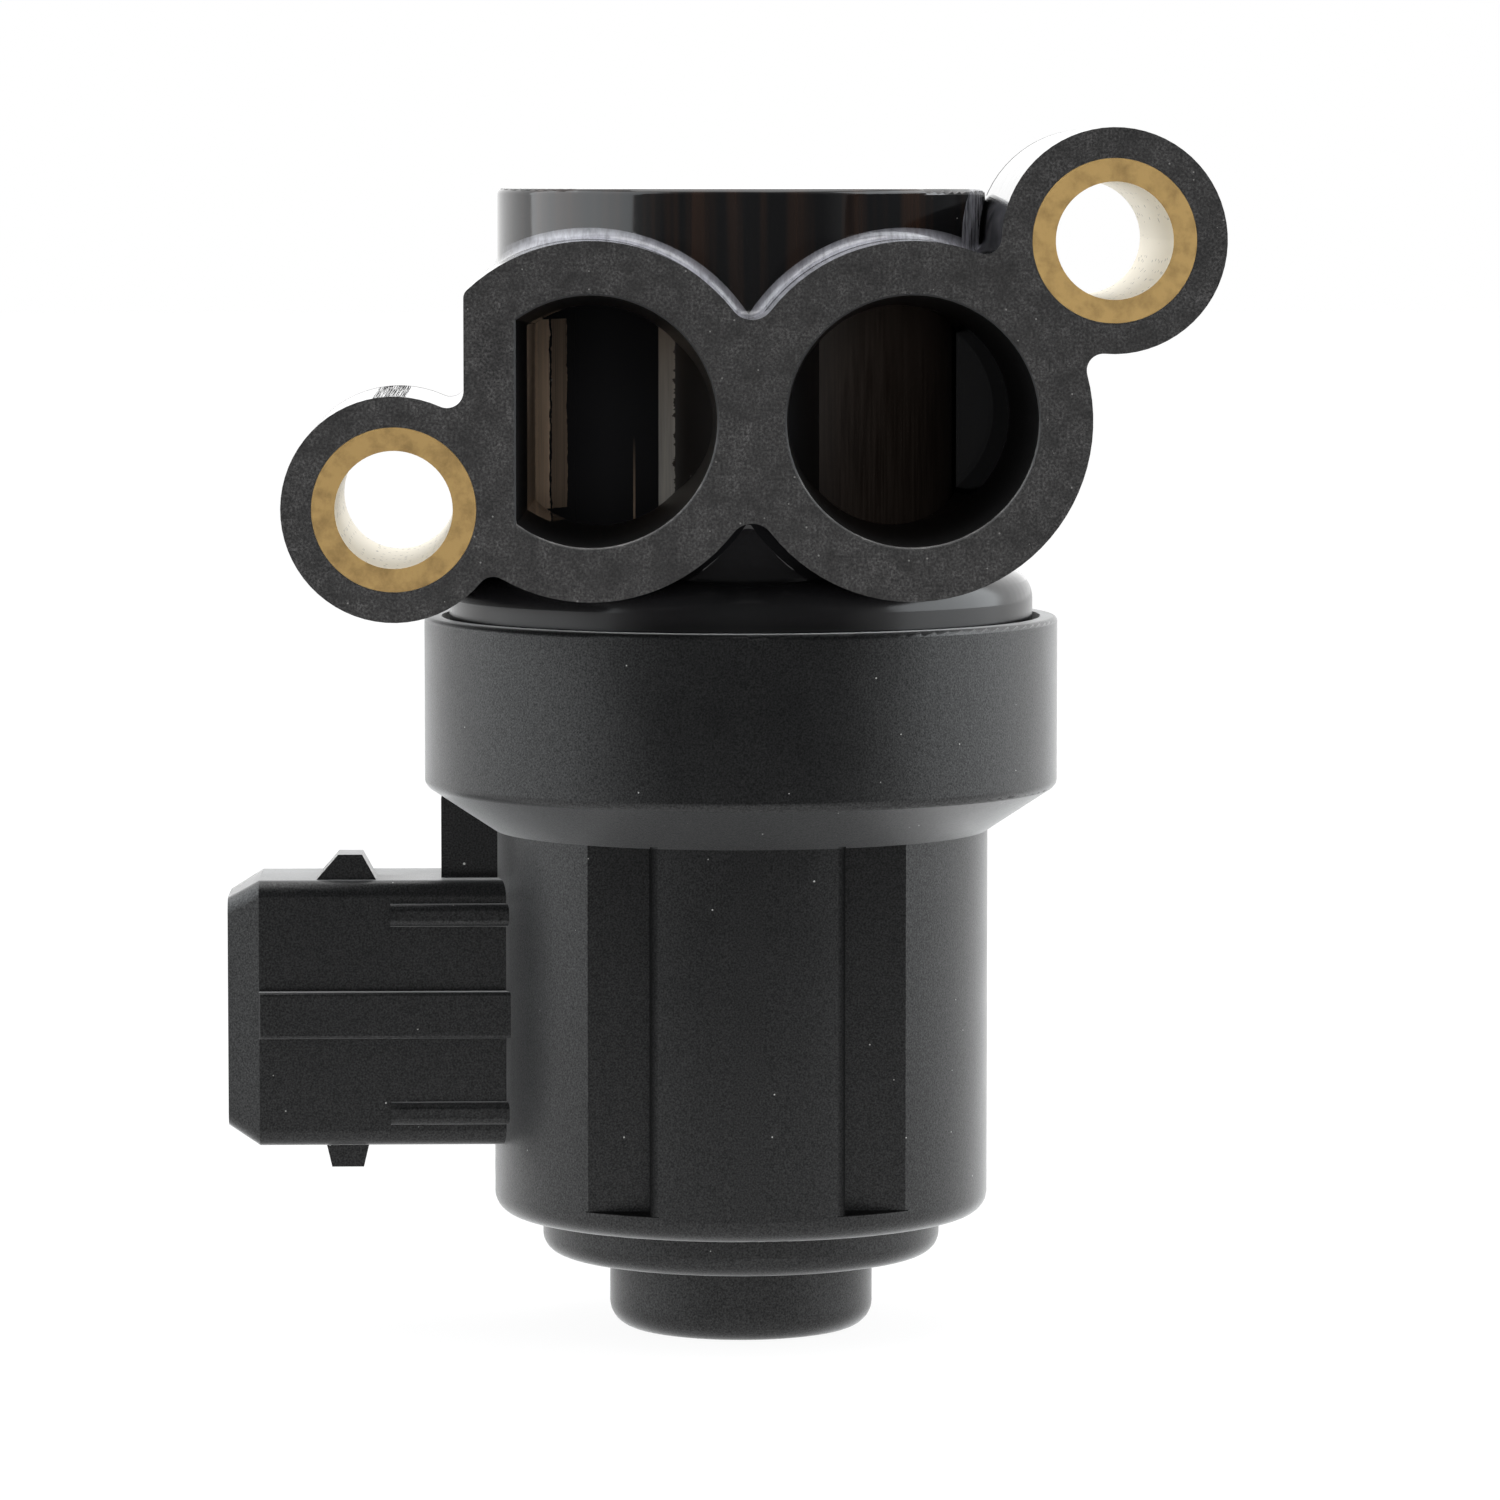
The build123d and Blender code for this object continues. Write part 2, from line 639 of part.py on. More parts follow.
def pole_and_coil(shoe_name, coil_name, side):
    with BuildPart() as shoe:
        with BuildSketch(level(yoke_mid - magnet_length / 2)) as shoe_plan:
            draw_sector(shoe_outer_r, 90 * side - shoe_half_angle, 90 * side + shoe_half_angle)
            Circle(shoe_r, mode=Mode.SUBTRACT)
        extrude(amount=magnet_length)
        with BuildSketch(level(yoke_mid - stem_height / 2)) as stem_plan:
            with Locations((0, side * (shoe_r + yoke_inner_r) / 2)):
                Rectangle(2 * stem_half, yoke_inner_r - shoe_r)
            Circle(yoke_inner_r - fit, mode=Mode.INTERSECT)
        extrude(amount=stem_height)
    finish(shoe, shoe_name)
    with BuildPart() as bobbin:
        for start in (bobbin_start, bobbin_start + bobbin_length - bobbin_wall):
            with BuildSketch(outward(side, start)) as bobbin_flange:
                Rectangle(2 * bobbin_half, bobbin_tall)
            extrude(amount=bobbin_wall)
        with BuildSketch(outward(side, bobbin_start)) as core_outline:
            Rectangle(2 * core_half, core_tall)
        extrude(amount=bobbin_length)
        with BuildSketch(outward(side, bobbin_start)) as stem_hole:
            Rectangle(2 * (stem_half + bobbin_play), stem_height + 2 * bobbin_play)
        extrude(amount=bobbin_length, mode=Mode.SUBTRACT)
    finish(bobbin, f"{coil_name}_bobbin")
    with BuildPart() as winding:
        with BuildSketch(outward(side, bobbin_start + bobbin_wall + winding_play)) as winding_outline:
            RectangleRounded(2 * winding_half, winding_tall, winding_build)
            Rectangle(2 * (core_half + winding_play), core_tall + 2 * winding_play, mode=Mode.SUBTRACT)
        extrude(amount=bobbin_length - 2 * (bobbin_wall + winding_play))
    finish(winding, f"{coil_name}_winding")


pole_and_coil("front_pole_shoe", "opening_coil", -1)
pole_and_coil("rear_pole_shoe", "closing_coil", 1)
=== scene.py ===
import bpy
import bmesh
from math import cos, sin
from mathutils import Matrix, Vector


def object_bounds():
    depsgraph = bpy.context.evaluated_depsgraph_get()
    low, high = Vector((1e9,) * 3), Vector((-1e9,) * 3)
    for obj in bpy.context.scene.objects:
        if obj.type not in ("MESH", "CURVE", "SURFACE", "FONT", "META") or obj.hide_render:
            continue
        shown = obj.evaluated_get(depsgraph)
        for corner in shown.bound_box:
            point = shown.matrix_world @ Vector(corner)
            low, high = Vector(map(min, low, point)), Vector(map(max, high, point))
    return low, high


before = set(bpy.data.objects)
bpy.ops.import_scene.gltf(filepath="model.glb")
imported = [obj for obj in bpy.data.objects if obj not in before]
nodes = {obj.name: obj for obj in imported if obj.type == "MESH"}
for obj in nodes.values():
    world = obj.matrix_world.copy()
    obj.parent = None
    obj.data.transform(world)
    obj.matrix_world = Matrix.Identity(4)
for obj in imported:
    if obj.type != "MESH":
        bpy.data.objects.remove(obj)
cadLow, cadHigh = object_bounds()
print("frame loaded:", len(nodes), "nodes")


# a socket takes a link or a plain value
def feed(material, socket, value):
    if isinstance(value, bpy.types.NodeSocket):
        material.node_tree.links.new(value, socket)
    else:
        socket.default_value = value


def addNode(material, kind, inputs=None, **settings):
    made = material.node_tree.nodes.new("ShaderNode" + kind)
    for name, value in settings.items():
        setattr(made, name, value)
    for name, value in (inputs or {}).items():
        feed(material, made.inputs[name], value)
    return made


def newMaterial(name):
    material = bpy.data.materials.new(name)
    material.use_nodes = True
    shader = material.node_tree.nodes["Principled BSDF"]
    return material, shader


def connect(material, source, shader, socket):
    material.node_tree.links.new(source, shader.inputs[socket])


def objectPoint(material):
    return addNode(material, "TexCoord").outputs["Object"]


def splitPoint(material, point):
    parts = addNode(material, "SeparateXYZ", {"Vector": point}).outputs
    return parts["X"], parts["Y"], parts["Z"]


def math(material, operation, first, second=0.0, third=None, clamp=False):
    inputs = {0: first, 1: second}
    if third is not None:
        inputs[2] = third
    return addNode(material, "Math", inputs, operation=operation, use_clamp=clamp).outputs["Value"]


def noise(material, point, scale, detail, roughness):
    settings = {"Vector": point, "Scale": scale, "Detail": detail, "Roughness": roughness}
    return addNode(material, "TexNoise", settings).outputs["Fac"]


def stretched(material, point, scales):
    return addNode(material, "Mapping", {"Vector": point, "Scale": scales}).outputs["Vector"]


# noise with a scale of its own along x, y and z
def streaked(material, point, scales, detail, roughness):
    return noise(material, stretched(material, point, scales), 1.0, detail, roughness)


def remap(material, value, fromLow, fromHigh, toLow=0.0, toHigh=1.0):
    settings = {"Value": value, "From Min": fromLow, "From Max": fromHigh, "To Min": toLow, "To Max": toHigh}
    return addNode(material, "MapRange", settings).outputs["Result"]


# first where the share is 0, second where it is 1
def blend(material, dataType, ending, share, first, second):
    made = addNode(material, "Mix", data_type=dataType)
    for name, value in (("Factor_Float", share), ("A_" + ending, first), ("B_" + ending, second)):
        feed(material, next(socket for socket in made.inputs if socket.identifier == name), value)
    return next(socket for socket in made.outputs if socket.identifier == "Result_" + ending)


def blendColour(material, share, first, second):
    return blend(material, "RGBA", "Color", share, first, second)


def blendValue(material, share, first, second):
    return blend(material, "FLOAT", "Float", share, first, second)


def blendVector(material, share, first, second):
    return blend(material, "VECTOR", "Vector", share, first, second)


def bump(material, height):
    settings = {"Height": height, "Distance": 1.0, "Strength": 1.0}
    return addNode(material, "Bump", settings).outputs["Normal"]


def above(material, value, limit):
    return math(material, "GREATER_THAN", value, limit)


def below(material, value, limit):
    return math(material, "LESS_THAN", value, limit)


def between(material, value, low, high):
    return math(material, "MULTIPLY", above(material, value, low), below(material, value, high))


def together(material, *shares):
    joint = shares[0]
    for share in shares[1:]:
        joint = math(material, "MULTIPLY", joint, share)
    return joint


def either(material, *shares):
    joint = shares[0]
    for share in shares[1:]:
        joint = math(material, "MAXIMUM", joint, share)
    return joint


# scattered round specks: 1 on a speck, 0 elsewhere
def specks(material, point, scale, size, share):
    cells = addNode(material, "TexVoronoi", {"Vector": point, "Scale": scale})
    red = addNode(material, "SeparateColor", {"Color": cells.outputs["Color"]}).outputs["Red"]
    near = below(material, cells.outputs["Distance"], size)
    return together(material, near, below(material, red, share))


def distanceTo(material, point, place):
    return addNode(material, "VectorMath", {0: point, 1: place}, operation="DISTANCE").outputs["Value"]


# the shutter turns about an upright line, this far behind the flange face
shaftDepth = 0.0270


def fromShaft(material, across, depth):
    level = addNode(material, "CombineXYZ", {"X": across, "Y": depth}).outputs["Vector"]
    return distanceTo(material, level, (0, shaftDepth, 0))


def paint(material, *names):
    for name in names:
        data = nodes[name].data
        data.materials.clear()
        data.materials.append(material)


# glossy black moulding: milled flange face, roots over the ports with a painted highlight that is partly rub
# wear, painted reflections in the bore
# here and below, a noise is scale, detail and roughness, specks are scale, size and share,
# and a fade is from and to, then what it gives at both where that isn't 0 and 1
upperFinish = {
    "gloss": (0.0075, 0.0075, 0.008, 1), "glossRough": (0.3, 0.75, 0.06, 0.12), "plainShine": 0.5,
    "wave": (160.0, 2.0, 0.4), "waveHeight": 0.000004, "dust": (700.0, 0.07, 0.05), "dustShare": 0.7,
    "cloud": (420.0, 3.0, 0.6), "threads": ((2600.0, 500.0, 900.0), 5.0, 0.7), "wavy": 0.0004,
    # flange face
    "faceDepth": 0.00003, "face": (0.006, 0.0056, 0.0055, 1), "faceLight": (0.092, 0.088, 0.087, 1),
    "faceRough": 0.62, "grain": (5200.0, 4.0, 0.75), "grainHeight": 0.000012, "mottle": (1300.0, 3.0, 0.65),
    "faceGrain": (0.40, 0.70), "faceCloud": (0.35, 0.7, 0.35, 1.0), "faceMottle": (0.3, 0.7, 0.45, 1.35),
    "fibreAndGlint": (0.30, 0.29, 0.28, 1), "fibres": (2300.0, 0.16, 0.05), "fibreShare": 0.45,
    # painted highlight: a ragged lighter line along the ports' lower edges, where the rims catch light
    "glintRing": (0.0090, 0.00926), "glintRagged": 0.0002, "glintDepth": 0.0004, "flatX": -0.0170,
    "glintHeight": (-0.0062, 0.0005, 0.45, 0.0), "glintBreaks": (0.35, 0.65, 0.2, 1.0),
    # ports, bore and base; the bore's inside is painted lighter, a painted fill light fading out to the right
    "portX": 0.0116, "portEdge": 0.0093, "portDepth": 0.0165, "portRough": 0.34, "frontDepth": 0.0235,
    "boreR": 0.0168, "inside": (0.020, 0.020, 0.0215, 1), "wallFade": (0.0, 0.008, 1.0, 0.0),
    "baseTop": -0.0128, "baseRough": 0.2,
    # faint brown streaks on the chamber's front, a painted reflection
    "reflectionBrown": (0.030, 0.017, 0.012, 1), "reflectionStreaks": ((420.0, 420.0, 9.0), 3.0, 0.6),
    "streakGrain": (0.48, 0.72), "streakStand": (0.0168, 0.0186), "streakHeight": (-0.003, 0.006),
    "streakDepth": (0.014, 0.024, 1.0, 0.0),
    # painted highlight, partly rub wear, on the rounding between the tubes and the chamber, kept to its upper
    # part
    "rootRing": (0.01304, 0.01385), "rootThin": 0.3, "rootStand": (0.0183, 0.0196), "rootHeight": 0.003,
    "rootFade": (0.0165, 0.0235, 1.0, 0.0), "rootThreads": (0.30, 0.60, 0.5, 1.0),
    "rubAndHighlight": (0.40, 0.40, 0.445, 1), "rubAndHighlightRough": 0.2, "rubAndHighlightShine": 0.5,
    # scratches at the right ear's root, partly a painted highlight
    "earAt": (0.0261, 0.0, 0.0130), "earRing": (0.00838, 0.0099), "earSide": 0.0195,
    "hairs": ((3600.0, 1400.0, 420.0), 3.0, 0.6), "hairGrain": (0.38, 0.66, 0.1, 0.9),
    # painted reflections in the bore: left, right and share of each band, and one thin painted highlight line
    "bands": ((-0.0166, -0.01425, 0.9), (-0.01535, -0.01515, 0.4), (-0.0141, -0.0129, 0.3)),
    "bronzeReflection": (0.95, 0.70, 0.50, 1), "bandHeight": (-0.0078, 0.0067), "bandFrom": 0.013, "bandRough": 0.45,
    "bandLines": ((9000.0, 9000.0, 60.0), 3.0, 0.7), "bandGrain": (0.3, 0.62, 0.5, 1.0),
    "lineAcross": (-0.00795, -0.00778), "lineHeight": (-0.0085, -0.0025, 0.35, 0.0),
    # dull back ends of the ears, and a scuffed strip on the left ear
    "mattDepth": (0.0263, 0.0267), "mattStand": 0.0186, "stripAcross": (-0.0271, -0.0247),
    "stripHeight": 0.0008, "stripLines": ((26000.0, 60.0, 60.0), 2.0, 0.6), "stripGrain": (0.46, 0.49),
}


def upperPlaces(material, look):
    point = objectPoint(material)
    across, depth, height = splitPoint(material, point)
    upright = addNode(material, "CombineXYZ", {"X": across, "Z": height}).outputs["Vector"]
    fromLeft = distanceTo(material, upright, (-look["portX"], 0, 0))
    fromRight = distanceTo(material, upright, (look["portX"], 0, 0))
    fromAxis = fromShaft(material, across, depth)
    threads = streaked(material, point, *look["threads"])
    return {
        "point": point, "across": across, "depth": depth, "height": height, "fromAxis": fromAxis,
        "fromPorts": math(material, "MINIMUM", fromLeft, fromRight),
        "fromEar": distanceTo(material, upright, look["earAt"]),
        "onFace": below(material, depth, look["faceDepth"]),
        "inside": below(material, fromAxis, look["boreR"]),
        "inFront": below(material, depth, look["frontDepth"]),
        "grain": noise(material, point, *look["grain"]),
        "cloud": noise(material, point, *look["cloud"]),
        "threads": threads,
        "wavy": math(material, "MULTIPLY_ADD", threads, look["wavy"], across),
    }


def faceColour(material, look, place):
    mottle = noise(material, place["point"], *look["mottle"])
    light = together(
        material,
        remap(material, place["grain"], *look["faceGrain"]),
        remap(material, place["cloud"], *look["faceCloud"]),
        remap(material, mottle, *look["faceMottle"]),
    )
    fibres = specks(material, place["point"], *look["fibres"])
    colour = blendColour(material, light, look["face"], look["faceLight"])
    return blendColour(material, together(material, fibres, look["fibreShare"]), colour, look["fibreAndGlint"])


def skinColour(material, look, place):
    # brown streaks, a painted reflection on the chamber's front
    reflectionStreaks = together(
        material,
        remap(material, streaked(material, place["point"], *look["reflectionStreaks"]), *look["streakGrain"]),
        between(material, place["fromAxis"], *look["streakStand"]),
        remap(material, place["depth"], *look["streakDepth"]),
        remap(material, place["height"], *look["streakHeight"]),
    )
    colour = blendColour(material, reflectionStreaks, look["gloss"], look["reflectionBrown"])
    # lighter colour inside the bore, a painted fill light, fading out to the right
    wall = together(material, place["inside"], remap(material, place["across"], *look["wallFade"]))
    colour = blendColour(material, wall, colour, look["inside"])
    dust = specks(material, place["point"], *look["dust"])
    return blendColour(material, together(material, dust, look["dustShare"]), colour, look["fibreAndGlint"])


# upper and lower share of the rounding between the port tubes and the chamber
def rootPlaces(material, look, place):
    root = together(
        material,
        between(material, place["fromPorts"], *look["rootRing"]),
        between(material, place["fromAxis"], *look["rootStand"]),
        place["inFront"],
    )
    fade = remap(material, place["fromPorts"], *look["rootRing"], 1.0, look["rootThin"])
    ends = remap(material, place["depth"], *look["rootFade"])
    upper = together(material, root, fade, ends, above(material, place["height"], look["rootHeight"]))
    return upper, together(material, root, below(material, place["height"], -look["rootHeight"]))


# roots: a painted highlight, partly rub wear; right ear: scratches, partly a painted highlight
def rubAndHighlightShare(material, look, place, root):
    worn = together(material, root, remap(material, place["threads"], *look["rootThreads"]))
    scratched = together(
        material,
        remap(material, streaked(material, place["point"], *look["hairs"]), *look["hairGrain"]),
        between(material, place["fromEar"], *look["earRing"]),
        below(material, place["across"], look["earSide"]),
        place["inFront"],
        below(material, place["fromAxis"], look["rootStand"][1]),
    )
    return either(material, worn, scratched)


# painted highlight along the ports' lower edges, broken up and ragged
def portGlintShare(material, look, place):
    ragged = math(material, "MULTIPLY_ADD", place["threads"], look["glintRagged"], place["fromPorts"])
    return together(
        material,
        between(material, ragged, *look["glintRing"]),
        below(material, place["depth"], look["glintDepth"]),
        remap(material, place["height"], *look["glintHeight"]),
        above(material, place["across"], look["flatX"]),
        remap(material, place["cloud"], *look["glintBreaks"]),
    )


# painted reflection bands on the bore and port walls, and a thin painted highlight line
def reflectionBandShare(material, look, place):
    inBore = together(material, place["inside"], above(material, place["depth"], shaftDepth))
    inPort = between(material, place["depth"], look["bandFrom"], shaftDepth)
    share = 0.0
    for left, right, strength in look["bands"]:
        share = math(material, "MULTIPLY_ADD", between(material, place["wavy"], left, right), strength, share)
    share = together(
        material,
        share,
        either(material, inBore, inPort),
        remap(material, streaked(material, place["point"], *look["bandLines"]), *look["bandGrain"]),
        between(material, place["height"], *look["bandHeight"]),
    )
    thin = together(
        material,
        inBore,
        between(material, place["across"], *look["lineAcross"]),
        remap(material, place["height"], *look["lineHeight"]),
    )
    return either(material, share, thin)


def stripShare(material, look, place):
    return together(
        material,
        between(material, place["wavy"], *look["stripAcross"]),
        above(material, place["height"], look["stripHeight"]),
        above(material, place["depth"], look["faceDepth"]),
        remap(material, streaked(material, place["point"], *look["stripLines"]), *look["stripGrain"]),
    )


def upperRough(material, look, place, rubAndHighlight, bands):
    inPort = together(
        material,
        below(material, place["fromPorts"], look["portEdge"]),
        below(material, place["depth"], look["portDepth"]),
    )
    rough = remap(material, place["cloud"], *look["glossRough"])
    rough = blendValue(material, inPort, rough, look["portRough"])
    rough = blendValue(material, below(material, place["height"], look["baseTop"]), rough, look["baseRough"])
    rough = blendValue(material, rubAndHighlight, rough, look["rubAndHighlightRough"])
    rough = blendValue(material, bands, rough, look["bandRough"])
    return blendValue(material, place["onFace"], rough, look["faceRough"])


def upperShine(material, look, place, rubAndHighlight, lowerRoot):
    rear = together(
        material,
        remap(material, place["depth"], *look["mattDepth"]),
        above(material, place["fromAxis"], look["mattStand"]),
        above(material, place["height"], look["baseTop"]),
    )
    matt = either(material, stripShare(material, look, place), rear, lowerRoot)
    shine = math(material, "MULTIPLY_ADD", matt, -look["plainShine"], look["plainShine"])
    return math(material, "MULTIPLY_ADD", rubAndHighlight, look["rubAndHighlightShine"], shine)


def makeUpperMoulding(look):
    material, shader = newMaterial("gloss_moulding")
    place = upperPlaces(material, look)
    upperRoot, lowerRoot = rootPlaces(material, look, place)
    rubAndHighlight = rubAndHighlightShare(material, look, place, upperRoot)
    bands = reflectionBandShare(material, look, place)
    # painted highlight on the roots, painted reflection bands in the bore
    skin = blendColour(material, rubAndHighlight, skinColour(material, look, place), look["rubAndHighlight"])
    skin = blendColour(material, bands, skin, look["bronzeReflection"])
    colour = blendColour(material, place["onFace"], skin, faceColour(material, look, place))
    # the painted highlight along the ports' lower edges takes the light fibre colour
    colour = blendColour(material, portGlintShare(material, look, place), colour, look["fibreAndGlint"])
    connect(material, colour, shader, "Base Color")
    connect(material, upperRough(material, look, place, rubAndHighlight, bands), shader, "Roughness")
    connect(material, upperShine(material, look, place, rubAndHighlight, lowerRoot), shader, "Specular IOR Level")
    wave = together(material, noise(material, place["point"], *look["wave"]), look["waveHeight"])
    grain = together(material, place["grain"], look["grainHeight"])
    connect(material, bump(material, blendValue(material, place["onFace"], wave, grain)), shader, "Normal")
    return material


# matt grained black moulding
lowerFinish = {
    "base": (0.0025, 0.0026, 0.0028, 1), "light": (0.0065, 0.0066, 0.007, 1), "cloud": (130.0, 4.0, 0.6),
    "grain": (7500.0, 3.0, 0.6), "grainHeight": 0.000012,
    "lightGrain": (0.35, 0.75), "lightCloud": (0.3, 0.7, 0.5, 1.0),
    "rough": (0.3, 0.7, 0.29, 0.38), "shine": (0.35, 0.68, 0.22, 0.66), "bloom": 0.48, "bloomRough": 0.35,
    "dust": (0.34, 0.34, 0.33, 1),
    "dustSpecks": ((330.0, 0.03, 0.12), (640.0, 0.045, 0.22), (1100.0, 0.06, 0.10)),
    # quiet edges of the panel between the flutes, and the flutes' ledges
    "panelEdge": (0.0066, 0.0071), "panelSide": 0.00723, "fluteEdge": 0.0122, "fluteDepth": 0.0126,
    "fluteTop": -0.0316, "ledge": (-0.05914, -0.05906),
    "edgeShine": 0.3, "soften": 0.92, "facing": (0, -1, 0),
    # painted highlight: a lighter thin line on the end of the connector's long rib
    "ribAcross": (-0.03646, -0.03634), "ribHeight": (-0.04703, -0.04357), "ribDepth": 0.0212,
    "ribHighlight": (0.035, 0.035, 0.036, 1),
}


def lowerColour(material, look, point, grain, cloud):
    across, depth, height = splitPoint(material, point)
    light = together(
        material,
        remap(material, grain, *look["lightGrain"]),
        remap(material, cloud, *look["lightCloud"]),
    )
    colour = blendColour(material, light, look["base"], look["light"])
    dust = either(material, *[specks(material, point, *kind) for kind in look["dustSpecks"]])
    colour = blendColour(material, dust, colour, look["dust"])
    # painted highlight on the end of the long rib
    ribEndHighlight = together(
        material,
        between(material, across, *look["ribAcross"]),
        between(material, height, *look["ribHeight"]),
        below(material, depth, look["ribDepth"]),
    )
    return blendColour(material, ribEndHighlight, colour, look["ribHighlight"])


def quietEdges(material, look, point):
    across, depth, height = splitPoint(material, point)
    aside = math(material, "ABSOLUTE", across)
    onEdge = together(
        material,
        remap(material, aside, *look["panelEdge"]),
        below(material, aside, look["panelSide"]),
        between(material, height, look["ledge"][1], look["fluteTop"]),
    )
    onLedge = together(
        material,
        between(material, aside, look["panelEdge"][0], look["fluteEdge"]),
        between(material, height, *look["ledge"]),
    )
    return together(material, either(material, onEdge, onLedge), below(material, depth, look["fluteDepth"]))


def makeLowerMoulding(look):
    material, shader = newMaterial("grained_moulding")
    point = objectPoint(material)
    grain = noise(material, point, *look["grain"])
    cloud = noise(material, point, *look["cloud"])
    quiet = quietEdges(material, look, point)
    loud = remap(material, quiet, 0.0, 1.0, 1.0, look["edgeShine"])
    connect(material, lowerColour(material, look, point, grain, cloud), shader, "Base Color")
    connect(material, remap(material, cloud, *look["rough"]), shader, "Roughness")
    shine = together(material, remap(material, grain, *look["shine"]), loud)
    connect(material, shine, shader, "Specular IOR Level")
    shader.inputs["Sheen Weight"].default_value = look["bloom"]
    shader.inputs["Sheen Roughness"].default_value = look["bloomRough"]
    grainy = bump(material, together(material, grain, look["grainHeight"]))
    normal = blendVector(material, together(material, quiet, look["soften"]), grainy, look["facing"])
    connect(material, normal, shader, "Normal")
    return material


# brass bushes, dull on their ends, the left one darker
bushFinish = {
    "face": (0.41, 0.265, 0.094, 1), "faceRough": 0.58, "faceMetal": 0.25,
    "stain": (0.21, 0.13, 0.044, 1), "stains": (620.0, 5.0, 0.62), "stainGrain": (0.44, 0.74, 0.0, 0.9),
    "leftDarkening": 0.25, "frontDepth": 0.00003, "backDepth": 0.02837,
    "bore": (0.80, 0.74, 0.60, 1), "boreRough": 0.42, "boreMetal": 1.0,
    "pit": (0.13, 0.115, 0.09, 1), "pits": (2300.0, 0.28, 0.20), "pitStretch": (1.0, 0.7, 1.0),
    "grain": (3200.0, 3.0, 0.6), "grainHeight": 0.00001,
}


def makeBushBrass(look):
    material, shader = newMaterial("bush_brass")
    point = objectPoint(material)
    across, depth, _ = splitPoint(material, point)
    onFront = below(material, depth, look["frontDepth"])
    onFace = either(material, onFront, above(material, depth, look["backDepth"]))
    stained = remap(material, noise(material, point, *look["stains"]), *look["stainGrain"])
    # the left bush's ends are darker all over
    leftDarker = together(material, below(material, across, 0.0), look["leftDarkening"])
    stained = math(material, "ADD", stained, leftDarker, clamp=True)
    ends = blendColour(material, stained, look["face"], look["stain"])
    pits = specks(material, stretched(material, point, look["pitStretch"]), *look["pits"])
    bore = blendColour(material, pits, look["bore"], look["pit"])
    connect(material, blendColour(material, onFace, bore, ends), shader, "Base Color")
    connect(material, blendValue(material, onFace, look["boreRough"], look["faceRough"]), shader, "Roughness")
    connect(material, blendValue(material, onFace, look["boreMetal"], look["faceMetal"]), shader, "Metallic")
    grain = together(material, noise(material, point, *look["grain"]), look["grainHeight"])
    connect(material, bump(material, grain), shader, "Normal")
    return material


# shutter, stained brown on its skin and worn bright along its leading edge
shutterFinish = {
    "skin": (0.014, 0.010, 0.008, 1), "skinLight": (0.030, 0.023, 0.019, 1), "skinFrom": 0.0146,
    "plate": (0.34, 0.33, 0.31, 1), "metal": 0.6, "rough": (0.3, 0.7, 0.30, 0.5),
    "grain": ((4200.0, 4200.0, 160.0), 4.0, 0.6), "lightGrain": (0.36, 0.68), "grainHeight": 0.000008,
    "bare": (0.48, 0.455, 0.41, 1), "bareTop": (0.16, 0.125, 0.095, 1), "bareRise": (-0.005, 0.007),
    "edgeX": -0.00532, "ragged": 0.0013, "chips": ((600.0, 600.0, 2400.0), 5.0, 0.7), "chipMiddle": 0.5,
}


# leading edge, chipped, and only in front of the shaft
def wornEdge(material, look, point):
    across, depth, _ = splitPoint(material, point)
    chips = math(material, "SUBTRACT", streaked(material, point, *look["chips"]), look["chipMiddle"])
    edge = math(material, "MULTIPLY_ADD", chips, look["ragged"], across)
    return together(material, below(material, edge, look["edgeX"]), below(material, depth, shaftDepth))


def makeShutterSkin(look):
    material, shader = newMaterial("shutter_skin")
    point = objectPoint(material)
    across, depth, height = splitPoint(material, point)
    onSkin = above(material, fromShaft(material, across, depth), look["skinFrom"])
    worn = wornEdge(material, look, point)
    grain = streaked(material, point, *look["grain"])
    share = remap(material, grain, *look["lightGrain"])
    skin = blendColour(material, share, look["skin"], look["skinLight"])
    colour = blendColour(material, onSkin, look["plate"], skin)
    bare = blendColour(material, share, look["bare"], look["plate"])
    bare = blendColour(material, remap(material, height, *look["bareRise"]), bare, look["bareTop"])
    connect(material, blendColour(material, worn, colour, bare), shader, "Base Color")
    bright = either(material, worn, math(material, "SUBTRACT", 1.0, onSkin))
    connect(material, together(material, bright, look["metal"]), shader, "Metallic")
    connect(material, remap(material, grain, *look["rough"]), shader, "Roughness")
    connect(material, bump(material, together(material, grain, look["grainHeight"])), shader, "Normal")
    return material


